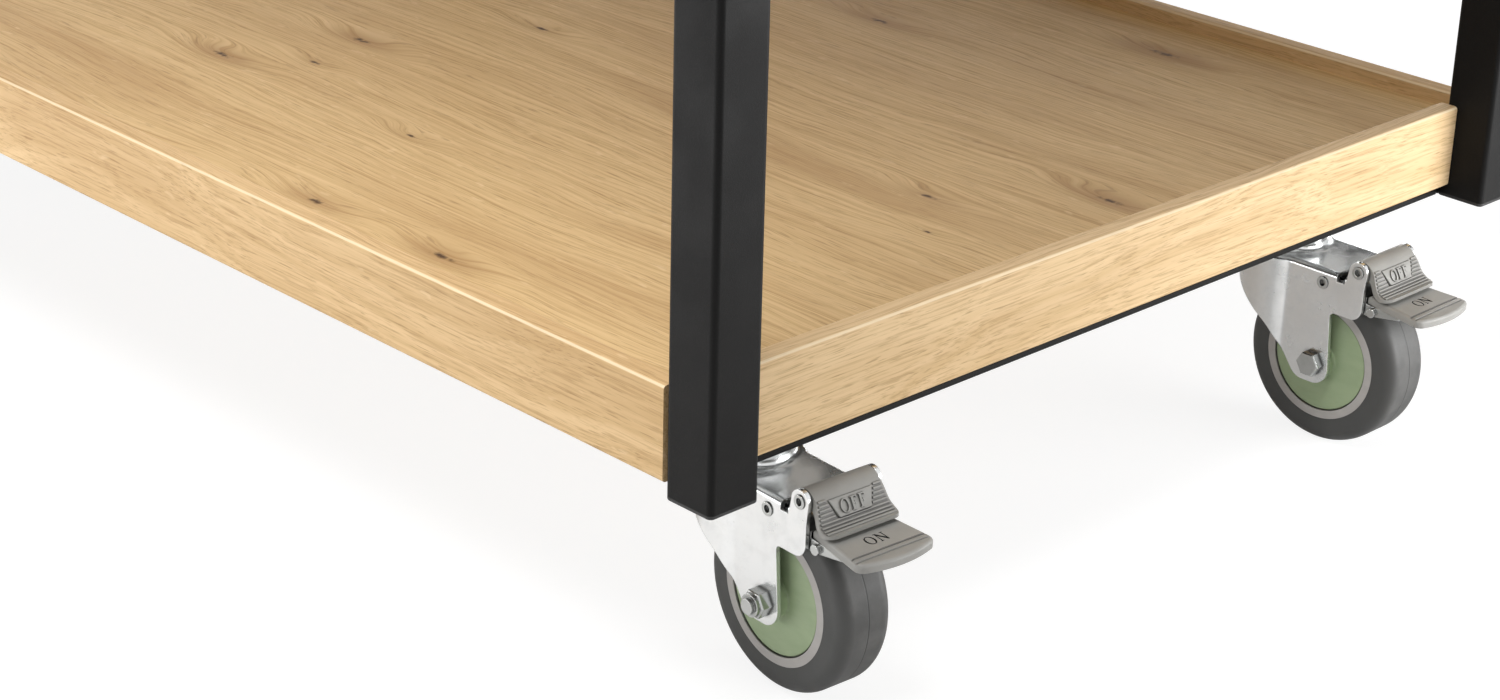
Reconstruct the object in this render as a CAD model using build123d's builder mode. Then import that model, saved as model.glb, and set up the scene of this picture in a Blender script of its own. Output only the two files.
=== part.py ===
"""Serving cart: two wooden trays in a square tube frame on four braked swivel casters. Units are mm.

Frame: origin on the floor under the middle of the cart, X along the long side, Y from front to back, Z up.
Each caster piece is modelled once in a local frame (Z is the swivel axis, +X points to the pedals)
and then carried to its station.
"""
import os

from build123d import *

os.makedirs("parts", exist_ok=True)

# Whole cart
LENGTH = 950.0  # over the outer faces of the posts, along X
DEPTH = 630.0  # over the outer faces of the posts, along Y
HEIGHT = 920.0  # top of the posts over the floor
FOOT = 132.0  # foot of the posts over the floor, also the casters' height
TRAY_DROP = 145.0  # underside of the upper tray's frame below the posts' tops
UPPER_LEVEL = HEIGHT - TRAY_DROP

# Square tube frame
POST = 30.0
POST_CORNER = 3.0
WALL = 1.5
RAIL_DEPTH = 18.0
RAIL_HEIGHT = 30.0
RAIL_CORNER = 2.0
PLUG_FLANGE = 2.0
PLUG_DEPTH = 14.0
PLUG_ROUND = 1.2
PLUG_CLEARANCE = 0.1
CHANNEL_WIDTH = 86.0
CHANNEL_WALL = 3.0
CHANNEL_LIP = 4.5  # the web's lip beyond the outer wall, seen under the end rim

# Trays
DECK = 16.0
RIM = 12.0
RIM_LOW = 7.5  # rim underside over the frame's underside
RIM_HEIGHT = 47.5
RIM_ROUND = 2.0
RIM_GAP = 1.5  # open joint between a long rim's end and the post
SIDE_SETBACK = 22.5  # end rim behind the posts' outer faces
SIDE_GAP = 0.5
SCREWS_PER_RAIL = 4
SCREW_PITCH = 220.0
SCREW_RADIUS = 2.25
SCREW_HEAD_RADIUS = 4.25
SCREW_HEAD = 2.7
SCREW_GRIP = 12.0
ACCESS_RADIUS = 5.5

# Casters
SWIVEL_INSET_X = 77.0  # swivel axis from the posts' outer end face
SWIVEL_INSET_Y = 100.0
TRAIL = 38.0
WHEEL_RADIUS = 50.0
AXLE_Z = WHEEL_RADIUS
YAW = {"front_right": -4.0, "back_right": 0.0}
TURNED = {"back_left": "front_right", "front_left": "back_right"}

# Caster head
TOP_PLATE_X = 64.0
TOP_PLATE_Y = 92.0
TOP_PLATE = 3.0
TOP_PLATE_CORNER = 6.0
BOLT_PITCH_X = 46.0
BOLT_PITCH_Y = 72.0
BOLT_RADIUS = 4.0
BOLT_HOLE_RADIUS = 4.5
HEX_FLATS = 13.0
HEX_HEAD = 5.3
HEX_NUT = 6.5
HEX_CHAMFER = 0.6
BOLT_TAIL = 2.0
RACE_RADIUS = 19.5
BALL_RADIUS = 2.5
BALL_PITCH_RADIUS = 14.5
BALL_COUNT = 12
BALL_SEAT_GAP = 0.02
KING_RADIUS = 6.0
KING_FLANGE_RADIUS = 10.0
KING_FLANGE = 3.2
KING_SINK = 0.5
RUN_GAP = 0.3  # free space between pieces that turn against each other
PIN_FIT = 0.05  # radial running fit of hinge pins and of the wheel on its sleeve

# Fork
FORK_SHEET = 2.5
FORK_WIDTH = 46.0
HOOD_RADIUS = 28.0
HOOD_LOW = 93.0
NECK_ROUND = 5.0
CROWN_TOP = 107.5
CROWN_FRONT = 48.5
CROWN_FOLD = 3.0
DOME_INSET = 8.0  # the dome's wall inside the hood's
DOME_RADIUS = HOOD_RADIUS - DOME_INSET
DOME_TOP = 118.0
DOME_FOOT_ROUND = 4.5
DOME_FOOT_FLAT = 0.3  # flat ring between the dome's foot and the crown's fold
DOME_ROUND = 2.5
KNEE_X = 6.0
KNEE_Z = 65.5
KNEE_ROUND = 30.0
FORK_LOW = 37.8
LEG_BACK = 27.0
LEG_FRONT = 49.3
LEG_ROUND = 10.0
LEG_LEAN = 3.3
CROTCH_Z = 83.3
CROTCH_ROUND = 3.0
LOBE_FRONT = 66.8
LOBE_ROUND = 7.5
LEVER_PIN_X = TRAIL + 24.0
LEVER_PIN_Z = 112.0
EAR_RADIUS = 6.0
EAR_BACK = 54.0
NOTCH_LOW = 102.8
PEDAL_PIN_X = TRAIL + 1.5
PEDAL_PIN_Z = 99.5
PIN_RADIUS = 2.5
RIVET_RADIUS = 3.5
RIVET_PROUD = 0.7
RIVET_BORE = 2.0
RIVET_SINK = 1.8

# Wheel
ARM_ROOM = 4.5  # on each side, between the wheel and the fork
WHEEL_WIDTH = FORK_WIDTH - 2 * (FORK_SHEET + ARM_ROOM)
CORE_RING_IN = 31.0
CORE_RING_OUT = 35.7
CORE_SEAT = 38.0
SEAT_INSET = 6.0
SHOULDER = 7.0
GUARD_RADIUS = 30.5
GUARD_SINK = 0.7  # the guard's face behind the wheel's side
GUARD_THICK = 1.8
GUARD_ROUND = 0.8
GUARD_BOSS_RADIUS = 10.0
GUARD_BOSS_ROUND = 1.0
SLEEVE_RADIUS = 6.0
HUB_RADIUS = 12.0
WEB_HALF = 4.0
RIM_INSIDE = 27.0

# Brake
ARM_GAP = 0.7  # from the wheel
ARM_PLAY = 0.4  # from the fork
ARM_END_RADIUS = 4.2
ARM_STEP = 0.5
SEAT_GAP = 0.01
ARM_REACH = 22.0
ARM_TIP = 2.0
ARM_LOW = 87.5
SHOE_RADIUS = WHEEL_RADIUS + 3.3
SHOE_TOP_IN = 102.6
SHOE_TOP_OUT = 97.6
PEDAL_THICK = 4.5
PEDAL_LENGTH = 41.5
PEDAL_SLOPE = 3.5
PEDAL_INSET = 1.2  # the pedal's inner end in front of the fork
PEDAL_IN_Z = 99.0
PEDAL_NARROW = 4.0  # inner end narrower than the fork on each side
PEDAL_WIDE = 1.0  # outer end wider than the fork on each side
PEDAL_SIDE = 37.0
PEDAL_CORNER = 4.5
PEDAL_ROUND = 1.8
GROOVE_WIDTH = 1.2
GROOVE_DEPTH = 0.8
GROOVES = (31.0, 34.4)
STUD_INSET = 5.2
STUD_Z = 90.6
STUD_RADIUS = 2.6
STUD_PROUD = 2.0

# Release lever: its curves are points from the pin, in ear radii
LEVER_FACE = (
    (0.0, 1.0), (0.97, 0.63), (1.57, -0.13), (1.98, -0.97), (2.43, -1.53), (3.03, -1.75), (3.72, -1.63)
)
LEVER_BACK = ((3.67, -1.97), (2.93, -2.10), (2.13, -2.0), (1.53, -1.57), (1.17, -0.9), (0.0, -0.67))
LEVER_PLAY = 0.4
LEVER_LIP_INSET = 0.2  # the lip's ends inside the fork's outer faces
FLARE_START = 7.5
FLARE_END = 14.5
LIP_REACH = 22.4
FLARE_ROUND = 3.0
LIP_CORNER = 6.5

# Values that follow from the sizes above
rail_length = LENGTH - 2 * POST
long_rim_length = LENGTH - 2 * (POST + RIM_GAP)
side_rim_length = DEPTH - 2 * (POST + SIDE_GAP)
side_rim_x = LENGTH / 2 - SIDE_SETBACK - RIM / 2
cross_outer = LENGTH / 2 - SIDE_SETBACK - RIM
rail_y = DEPTH / 2 - RIM - RAIL_DEPTH / 2
cross_length = DEPTH - 2 * (RIM + RAIL_DEPTH)
post_x = LENGTH / 2 - POST / 2
post_y = DEPTH / 2 - POST / 2
swivel_x = LENGTH / 2 - SWIVEL_INSET_X
swivel_y = DEPTH / 2 - SWIVEL_INSET_Y
plate_low = FOOT - TOP_PLATE
race_low = DOME_TOP + RUN_GAP + 2 * BALL_RADIUS
dome_inside = DOME_TOP - FORK_SHEET
fork_half = FORK_WIDTH / 2
fork_inner = fork_half - FORK_SHEET
half_width = WHEEL_WIDTH / 2
guard_out = half_width - GUARD_SINK
guard_in = guard_out - GUARD_THICK
hub_half = guard_in - RUN_GAP
arm_in = half_width + ARM_GAP
arm_out = fork_inner - ARM_PLAY
pedal_in_x = LOBE_FRONT + PEDAL_INSET
pedal_half_in = fork_half - PEDAL_NARROW
pedal_half_out = fork_half + PEDAL_WIDE
stud_x = LOBE_FRONT + STUD_INSET
lever_half = fork_inner - LEVER_PLAY
lip_half = fork_half - LEVER_LIP_INSET
screw_xs = [SCREW_PITCH * (i - (SCREWS_PER_RAIL - 1) / 2) for i in range(SCREWS_PER_RAIL)]
bolt_spots = [(x * BOLT_PITCH_X / 2, y * BOLT_PITCH_Y / 2) for x in (-1, 1) for y in (-1, 1)]
station_spots = [(x * swivel_x, y * swivel_y) for x in (-1, 1) for y in (-1, 1)]
all_bolt_spots = [(sx + bx, sy + by) for sx, sy in station_spots for bx, by in bolt_spots]
SIDES = {"left": -1, "right": 1}
ROWS = {"front": -1, "back": 1}


def save(part, name):
    """Labels a finished piece and writes it as one node."""
    part.label = name
    export_step(part, f"parts/{name}.step")


# Posts and plugs
for row, y_sign in ROWS.items():
    for side, x_sign in SIDES.items():
        with BuildPart() as post:
            with BuildSketch(Plane((x_sign * post_x, y_sign * post_y, FOOT + PLUG_FLANGE))):
                RectangleRounded(POST, POST, POST_CORNER)
                RectangleRounded(POST - 2 * WALL, POST - 2 * WALL, POST_CORNER - WALL, mode=Mode.SUBTRACT)
            extrude(amount=HEIGHT - FOOT - 2 * PLUG_FLANGE)
        save(post.part, f"{row}_{side}_post")

plug_stem = POST - 2 * WALL - 2 * PLUG_CLEARANCE
post_spots = [(x * post_x, y * post_y) for x in (-1, 1) for y in (-1, 1)]
with BuildPart() as post_plugs:
    for level, inward in ((FOOT, 1), (HEIGHT, -1)):
        with BuildSketch(Plane.XY.offset(level)):
            with Locations(*post_spots):
                RectangleRounded(POST, POST, POST_CORNER)
        extrude(amount=inward * PLUG_FLANGE)
        margin = PLUG_ROUND / 2
        outer_faces = post_plugs.faces().filter_by_position(Axis.Z, level - margin, level + margin)
        fillet(outer_faces.edges(), PLUG_ROUND)
        with BuildSketch(Plane.XY.offset(level + inward * PLUG_FLANGE)):
            with Locations(*post_spots):
                RectangleRounded(plug_stem, plug_stem, POST_CORNER - WALL)
        extrude(amount=inward * (PLUG_DEPTH - PLUG_FLANGE))
save(post_plugs.part, "post_plugs")


def long_rails(level):
    """The two long rails under a tray, with the screw and access holes.

    Args:
        level: underside of the rails over the floor.

    Returns:
        The pair of rails as one part.
    """
    with BuildPart() as rails:
        with BuildSketch(Plane.YZ.offset(-rail_length / 2)):
            with Locations(*[(y_sign * rail_y, level + RAIL_HEIGHT / 2) for y_sign in (-1, 1)]):
                RectangleRounded(RAIL_DEPTH, RAIL_HEIGHT, RAIL_CORNER)
                RectangleRounded(
                    RAIL_DEPTH - 2 * WALL, RAIL_HEIGHT - 2 * WALL, RAIL_CORNER - WALL, mode=Mode.SUBTRACT
                )
        extrude(amount=rail_length)
        with BuildSketch(Plane.XY.offset(level)):
            with Locations(*[(x, y_sign * rail_y) for x in screw_xs for y_sign in (-1, 1)]):
                Circle(ACCESS_RADIUS)
        extrude(amount=RAIL_HEIGHT / 2, mode=Mode.SUBTRACT)
        with BuildSketch(Plane.XY.offset(level + RAIL_HEIGHT / 2)):
            with Locations(*[(x, y_sign * rail_y) for x in screw_xs for y_sign in (-1, 1)]):
                Circle(SCREW_RADIUS)
        extrude(amount=RAIL_HEIGHT / 2, mode=Mode.SUBTRACT)
    return rails.part


save(long_rails(FOOT), "lower_long_rails")

# Channels that carry the casters, open at the top under the lower deck
channel_x = cross_outer - CHANNEL_WIDTH / 2
from_below = (Align.CENTER, Align.MIN)
with BuildPart() as caster_channels:
    with BuildSketch(Plane.XZ):
        with Locations((-channel_x, FOOT), (channel_x, FOOT)):
            Rectangle(CHANNEL_WIDTH, RAIL_HEIGHT, align=from_below)
            Rectangle(CHANNEL_WIDTH + 2 * CHANNEL_LIP, CHANNEL_WALL, align=from_below)
        with Locations((-channel_x, FOOT + CHANNEL_WALL), (channel_x, FOOT + CHANNEL_WALL)):
            Rectangle(CHANNEL_WIDTH - 2 * CHANNEL_WALL, RAIL_HEIGHT, align=from_below, mode=Mode.SUBTRACT)
    extrude(amount=cross_length / 2, both=True)
    with BuildSketch(Plane.XY.offset(FOOT)):
        with Locations(*all_bolt_spots):
            Circle(BOLT_HOLE_RADIUS)
    extrude(amount=CHANNEL_WALL, mode=Mode.SUBTRACT)
save(caster_channels.part, "caster_channels")

with BuildPart() as upper_cross_rails:
    with BuildSketch(Plane.XZ):
        with Locations(*[(x * (cross_outer - POST / 2), UPPER_LEVEL + RAIL_HEIGHT / 2) for x in (-1, 1)]):
            RectangleRounded(POST, RAIL_HEIGHT, RAIL_CORNER)
            RectangleRounded(POST - 2 * WALL, RAIL_HEIGHT - 2 * WALL, RAIL_CORNER - WALL, mode=Mode.SUBTRACT)
    extrude(amount=cross_length / 2, both=True)
save(Compound(children=[long_rails(UPPER_LEVEL), upper_cross_rails.part]), "upper_frame_rails")

for side, x_sign in SIDES.items():
    with BuildPart() as push_bar:
        with BuildSketch(Plane.XZ):
            with Locations((x_sign * post_x, HEIGHT - PLUG_FLANGE - POST / 2)):
                RectangleRounded(POST, POST, POST_CORNER)
                RectangleRounded(POST - 2 * WALL, POST - 2 * WALL, POST_CORNER - WALL, mode=Mode.SUBTRACT)
        extrude(amount=DEPTH / 2 - POST, both=True)
    save(push_bar.part, f"{side}_push_bar")


def rounded_rim(x_size, y_size, x, y, low):
    """A wooden rim with rounded edges.

    Args:
        x_size: extent along X.
        y_size: extent along Y.
        x: middle along X.
        y: middle along Y.
        low: underside over the floor.

    Returns:
        The rim as a part.
    """
    with BuildPart(Plane((x, y, low))) as rim:
        Box(x_size, y_size, RIM_HEIGHT, align=(Align.CENTER, Align.CENTER, Align.MIN))
        along = Axis.X if x_size > y_size else Axis.Y
        fillet(rim.edges().filter_by(along), RIM_ROUND)
    return rim.part


for tray, level in (("lower", FOOT), ("upper", UPPER_LEVEL)):
    with BuildPart() as deck:
        with BuildSketch(Plane.XY.offset(level + RAIL_HEIGHT)):
            Rectangle(long_rim_length, DEPTH - 2 * RIM)
            with Locations((-side_rim_x, 0), (side_rim_x, 0)):
                Rectangle(RIM, side_rim_length, mode=Mode.SUBTRACT)
            with Locations((-LENGTH / 2, 0), (LENGTH / 2, 0)):
                Rectangle(2 * (SIDE_SETBACK + RIM), side_rim_length, mode=Mode.SUBTRACT)
        extrude(amount=DECK)
        with BuildSketch(Plane.XY.offset(level + RAIL_HEIGHT)):
            with Locations(*[(x, y_sign * rail_y) for x in screw_xs for y_sign in (-1, 1)]):
                Circle(SCREW_RADIUS)
        extrude(amount=SCREW_GRIP, mode=Mode.SUBTRACT)
    save(deck.part, f"{tray}_deck")
    for row, y_sign in ROWS.items():
        long_rim = rounded_rim(long_rim_length, RIM, 0, y_sign * (DEPTH - RIM) / 2, level + RIM_LOW)
        save(long_rim, f"{tray}_{row}_rim")
    for side, x_sign in SIDES.items():
        side_rim = rounded_rim(RIM, side_rim_length, x_sign * side_rim_x, 0, level + RIM_LOW)
        save(side_rim, f"{tray}_{side}_rim")

with BuildPart() as tray_screws:
    for level in (FOOT, UPPER_LEVEL):
        seat = level + RAIL_HEIGHT - WALL
        with BuildSketch(Plane.XY.offset(seat - SCREW_HEAD)):
            with Locations(*[(x, y_sign * rail_y) for x in screw_xs for y_sign in (-1, 1)]):
                Circle(SCREW_HEAD_RADIUS)
        extrude(amount=SCREW_HEAD)
        with BuildSketch(Plane.XY.offset(seat)):
            with Locations(*[(x, y_sign * rail_y) for x in screw_xs for y_sign in (-1, 1)]):
                Circle(SCREW_RADIUS)
        extrude(amount=WALL + SCREW_GRIP)
save(tray_screws.part, "tray_screws")

# Caster heads, fixed to the cart
with BuildPart() as caster_top_plates:
    with BuildSketch(Plane.XY.offset(plate_low)):
        with Locations(*station_spots):
            RectangleRounded(TOP_PLATE_X, TOP_PLATE_Y, TOP_PLATE_CORNER)
        with Locations(*all_bolt_spots):
            Circle(BOLT_HOLE_RADIUS, mode=Mode.SUBTRACT)
    extrude(amount=TOP_PLATE)
    with BuildSketch(Plane.XY.offset(race_low)):
        with Locations(*station_spots):
            Circle(RACE_RADIUS)
    extrude(amount=plate_low - race_low)
    with BuildSketch(Plane.XY.offset(race_low)):
        with Locations(*station_spots):
            Circle(KING_RADIUS)
    extrude(amount=FOOT - race_low, mode=Mode.SUBTRACT)
save(caster_top_plates.part, "caster_top_plates")

king_low = dome_inside - RUN_GAP - KING_FLANGE
with BuildPart() as swivel_bearings:
    with BuildSketch(Plane.XY.offset(king_low)):
        with Locations(*station_spots):
            Circle(KING_FLANGE_RADIUS)
    extrude(amount=KING_FLANGE)
    with BuildSketch(Plane.XY.offset(king_low)):
        with Locations(*station_spots):
            Circle(KING_RADIUS)
    extrude(amount=FOOT - KING_SINK - king_low)
    for x, y in station_spots:
        with Locations((x, y, race_low - BALL_RADIUS - BALL_SEAT_GAP)):
            with PolarLocations(BALL_PITCH_RADIUS, BALL_COUNT):
                Sphere(BALL_RADIUS)
save(swivel_bearings.part, "swivel_bearings")

web_top = FOOT + CHANNEL_WALL
with BuildPart() as caster_bolts:
    with BuildSketch(Plane.XY.offset(plate_low)):
        with Locations(*all_bolt_spots):
            RegularPolygon(HEX_FLATS / 2, 6, major_radius=False)
    extrude(amount=-HEX_HEAD)
    with BuildSketch(Plane.XY.offset(plate_low)):
        with Locations(*all_bolt_spots):
            Circle(BOLT_RADIUS)
    extrude(amount=web_top + HEX_NUT + BOLT_TAIL - plate_low)

with BuildPart() as caster_nuts:
    with BuildSketch(Plane.XY.offset(web_top)):
        with Locations(*all_bolt_spots):
            RegularPolygon(HEX_FLATS / 2, 6, major_radius=False)
            Circle(BOLT_RADIUS, mode=Mode.SUBTRACT)
    extrude(amount=HEX_NUT)
save(Compound(children=[caster_bolts.part, caster_nuts.part]), "caster_bolts")

# Caster pieces in the local frame
axle_plane = Plane(origin=(TRAIL, 0, AXLE_Z), x_dir=(0, 1, 0), z_dir=(1, 0, 0))
axle_axis = Axis((TRAIL, 0, AXLE_Z), (0, 1, 0))
seat_half = half_width - SEAT_INSET
seat_edge = seat_half + CORE_SEAT - CORE_RING_OUT

with BuildPart() as tyre:
    with BuildSketch(axle_plane):
        with BuildLine():
            FilletPolyline(
                (-half_width, CORE_RING_OUT), (-half_width, WHEEL_RADIUS), (half_width, WHEEL_RADIUS),
                (half_width, CORE_RING_OUT), (seat_edge, CORE_RING_OUT), (seat_half, CORE_SEAT),
                (-seat_half, CORE_SEAT), (-seat_edge, CORE_RING_OUT),
                radius=[0, SHOULDER, SHOULDER, 0, 0, 0, 0, 0], close=True,
            )
        make_face()
    revolve(axis=axle_axis)

bore = SLEEVE_RADIUS + PIN_FIT
with BuildPart() as wheel_core:
    with BuildSketch(axle_plane):
        with BuildLine():
            Polyline(
                (-hub_half, bore), (hub_half, bore), (hub_half, HUB_RADIUS), (WEB_HALF, HUB_RADIUS),
                (WEB_HALF, RIM_INSIDE), (hub_half, RIM_INSIDE), (hub_half, CORE_RING_IN),
                (half_width, CORE_RING_IN), (half_width, CORE_RING_OUT), (seat_edge, CORE_RING_OUT),
                (seat_half, CORE_SEAT), (-seat_half, CORE_SEAT), (-seat_edge, CORE_RING_OUT),
                (-half_width, CORE_RING_OUT), (-half_width, CORE_RING_IN), (-hub_half, CORE_RING_IN),
                (-hub_half, RIM_INSIDE), (-WEB_HALF, RIM_INSIDE), (-WEB_HALF, HUB_RADIUS),
                (-hub_half, HUB_RADIUS), close=True,
            )
        make_face()
    revolve(axis=axle_axis)

with BuildPart() as thread_guards:
    with BuildSketch(axle_plane):
        with BuildLine():
            FilletPolyline(
                (guard_in, SLEEVE_RADIUS), (guard_in, GUARD_RADIUS), (guard_out, GUARD_RADIUS),
                (guard_out, GUARD_BOSS_RADIUS), (fork_inner, GUARD_BOSS_RADIUS), (fork_inner, SLEEVE_RADIUS),
                radius=[0, 0, GUARD_ROUND, GUARD_BOSS_ROUND, 0, 0], close=True,
            )
        make_face()
    revolve(axis=axle_axis)
    mirror(about=Plane.XZ)


def axle_set(nut_side):
    """Axle bolt, locknut and the sleeve that the wheel runs on.

    Args:
        nut_side: +1 or -1, the side along local Y that carries the nut.

    Returns:
        The three pieces as one part.
    """
    nut_y = nut_side * fork_half
    nut_plane = Plane(origin=(TRAIL, nut_y, AXLE_Z), x_dir=(1, 0, 0), z_dir=(0, nut_side, 0))
    head_plane = Plane(origin=(TRAIL, -nut_y, AXLE_Z), x_dir=(1, 0, 0), z_dir=(0, -nut_side, 0))
    with BuildPart() as bolt:
        with BuildSketch(head_plane):
            RegularPolygon(HEX_FLATS / 2, 6, major_radius=False)
        extrude(amount=HEX_HEAD)
        chamfer(bolt.faces().sort_by(Axis.Y)[0 if nut_side > 0 else -1].edges(), HEX_CHAMFER)
        with BuildSketch(head_plane):
            Circle(BOLT_RADIUS)
        extrude(amount=-(FORK_WIDTH + HEX_NUT + BOLT_TAIL + BOLT_TAIL))
    with BuildPart() as nut:
        with BuildSketch(nut_plane):
            RegularPolygon(HEX_FLATS / 2, 6, major_radius=False)
            Circle(BOLT_RADIUS, mode=Mode.SUBTRACT)
        extrude(amount=HEX_NUT)
        chamfer(nut.faces().sort_by(Axis.Y)[-1 if nut_side > 0 else 0].outer_wire().edges(), HEX_CHAMFER)
        with BuildSketch(nut_plane.offset(HEX_NUT)):
            Circle(HEX_FLATS / 2 - HEX_CHAMFER)
            Circle(BOLT_RADIUS, mode=Mode.SUBTRACT)
        extrude(amount=BOLT_TAIL)
    with BuildPart() as sleeve:
        with BuildSketch(Plane.XZ):
            with Locations((TRAIL, AXLE_Z)):
                Circle(SLEEVE_RADIUS)
                Circle(BOLT_RADIUS, mode=Mode.SUBTRACT)
        extrude(amount=fork_inner, both=True)
    return Compound(children=[bolt.part, nut.part, sleeve.part])


hood_back = -HOOD_RADIUS - FORK_SHEET
over_crown = CROWN_TOP + FORK_SHEET
dome_foot = HOOD_RADIUS - CROWN_FOLD - DOME_FOOT_FLAT
with BuildPart() as fork:
    with BuildSketch(Plane.XY.offset(FORK_LOW)) as outline:
        Circle(HOOD_RADIUS)
        Rectangle(LOBE_FRONT, FORK_WIDTH, align=(Align.MIN, Align.CENTER))
        fillet(outline.vertices().sort_by(Axis.X)[:2], NECK_ROUND)
    extrude(amount=CROWN_TOP - FORK_LOW)
    fillet(fork.faces().sort_by(Axis.Z)[-1].edges(), CROWN_FOLD)
    with BuildSketch(Plane.XY.offset(FORK_LOW)) as inside:
        Circle(HOOD_RADIUS - FORK_SHEET)
        Rectangle(LOBE_FRONT + FORK_SHEET, FORK_WIDTH - 2 * FORK_SHEET, align=(Align.MIN, Align.CENTER))
        fillet(inside.vertices().sort_by(Axis.X)[:2], NECK_ROUND + FORK_SHEET)
    extrude(amount=CROWN_TOP - FORK_SHEET - FORK_LOW, mode=Mode.SUBTRACT)
    with BuildSketch(Plane.XY.offset(CROWN_TOP - 2 * FORK_SHEET)):
        with Locations((CROWN_FRONT, 0)):
            Rectangle(LOBE_FRONT, FORK_WIDTH - 2 * FORK_SHEET, align=(Align.MIN, Align.CENTER))
    extrude(amount=3 * FORK_SHEET, mode=Mode.SUBTRACT)
    with BuildSketch(Plane.XZ):
        with BuildLine():
            FilletPolyline(
                (hood_back, over_crown), (hood_back, HOOD_LOW), (KNEE_X, KNEE_Z), (LEG_BACK, FORK_LOW),
                (LEG_FRONT, FORK_LOW), (LEG_FRONT - LEG_LEAN, CROTCH_Z), (LOBE_FRONT, CROTCH_Z),
                (LOBE_FRONT, over_crown),
                radius=[0, 0, KNEE_ROUND, LEG_ROUND, LEG_ROUND, CROTCH_ROUND, LOBE_ROUND, 0], close=True,
            )
        make_face()
    extrude(amount=2 * HOOD_RADIUS, both=True, mode=Mode.INTERSECT)
    with BuildSketch(Plane.XZ):
        with Locations((CROWN_FRONT, NOTCH_LOW)):
            Rectangle(EAR_BACK - CROWN_FRONT, FORK_WIDTH, align=(Align.MIN, Align.MIN))
    extrude(amount=FORK_WIDTH, both=True, mode=Mode.SUBTRACT)
    with BuildSketch(Plane.XZ.offset(fork_inner)):
        with BuildLine():
            Polyline(
                (EAR_BACK, NOTCH_LOW - FORK_SHEET), (LOBE_FRONT, NOTCH_LOW - FORK_SHEET),
                (LEVER_PIN_X + EAR_RADIUS, LEVER_PIN_Z), (LEVER_PIN_X - EAR_RADIUS, LEVER_PIN_Z), close=True,
            )
        make_face()
        with Locations((LEVER_PIN_X, LEVER_PIN_Z)):
            Circle(EAR_RADIUS)
    extrude(amount=FORK_SHEET)
    mirror(about=Plane.XZ)
    with BuildSketch(Plane.XZ):
        with BuildLine():
            FilletPolyline(
                (0, CROWN_TOP - FORK_SHEET), (dome_foot, CROWN_TOP - FORK_SHEET), (dome_foot, CROWN_TOP),
                (DOME_RADIUS, CROWN_TOP), (DOME_RADIUS, DOME_TOP), (0, DOME_TOP),
                radius=[0, 0, 0, DOME_FOOT_ROUND, DOME_ROUND, 0], close=True,
            )
        make_face()
    revolve(axis=Axis.Z)
    with BuildSketch(Plane.XY.offset(CROWN_TOP - 2 * FORK_SHEET)):
        Circle(DOME_RADIUS - FORK_SHEET)
    extrude(amount=dome_inside - CROWN_TOP + 2 * FORK_SHEET, mode=Mode.SUBTRACT)
    with BuildSketch(Plane.XY.offset(dome_inside)):
        Circle(KING_RADIUS + RUN_GAP)
    extrude(amount=FORK_SHEET, mode=Mode.SUBTRACT)
    with BuildSketch(Plane.XZ):
        with Locations((TRAIL, AXLE_Z)):
            Circle(BOLT_RADIUS)
        with Locations((LEVER_PIN_X, LEVER_PIN_Z), (PEDAL_PIN_X, PEDAL_PIN_Z)):
            Circle(PIN_RADIUS)
    extrude(amount=FORK_WIDTH, both=True, mode=Mode.SUBTRACT)

pin_spots = [(LEVER_PIN_X, LEVER_PIN_Z), (PEDAL_PIN_X, PEDAL_PIN_Z)]
with BuildPart() as brake_pins:
    with BuildSketch(Plane.XZ):
        with Locations((LEVER_PIN_X, LEVER_PIN_Z)):
            Circle(PIN_RADIUS)
    extrude(amount=fork_half)
    with BuildSketch(Plane.XZ.offset(arm_in)):
        with Locations((PEDAL_PIN_X, PEDAL_PIN_Z)):
            Circle(PIN_RADIUS)
    extrude(amount=fork_half - arm_in)
    with BuildSketch(Plane.XZ.offset(fork_half)):
        with Locations(*pin_spots):
            Circle(RIVET_RADIUS)
    extrude(amount=RIVET_PROUD)
    with BuildSketch(Plane.XZ.offset(fork_half + RIVET_PROUD)):
        with Locations(*pin_spots):
            Circle(RIVET_BORE)
    extrude(amount=-RIVET_SINK, mode=Mode.SUBTRACT)
    mirror(about=Plane.XZ)

pedal_plane = Plane((pedal_in_x, 0, PEDAL_IN_Z)).rotated((0, PEDAL_SLOPE, 0))
with BuildPart() as brake_pedal:
    with BuildSketch(pedal_plane) as pedal_outline:
        with BuildLine():
            Polyline(
                (PEDAL_SIDE, -pedal_half_out), (0, -pedal_half_in), (0, pedal_half_in),
                (PEDAL_SIDE, pedal_half_out),
            )
            ThreePointArc((PEDAL_SIDE, pedal_half_out), (PEDAL_LENGTH, 0), (PEDAL_SIDE, -pedal_half_out))
        make_face()
        fillet(pedal_outline.vertices().sort_by(Axis.X)[-2:], PEDAL_CORNER)
    extrude(amount=-PEDAL_THICK)
    fillet(brake_pedal.faces().sort_by(Axis.Z)[-1].edges(), PEDAL_ROUND)
    with BuildSketch(pedal_plane):
        with Locations(*[(x, 0) for x in GROOVES]):
            Rectangle(GROOVE_WIDTH, 2 * pedal_half_out)
    extrude(amount=-GROOVE_DEPTH, mode=Mode.SUBTRACT)

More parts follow.
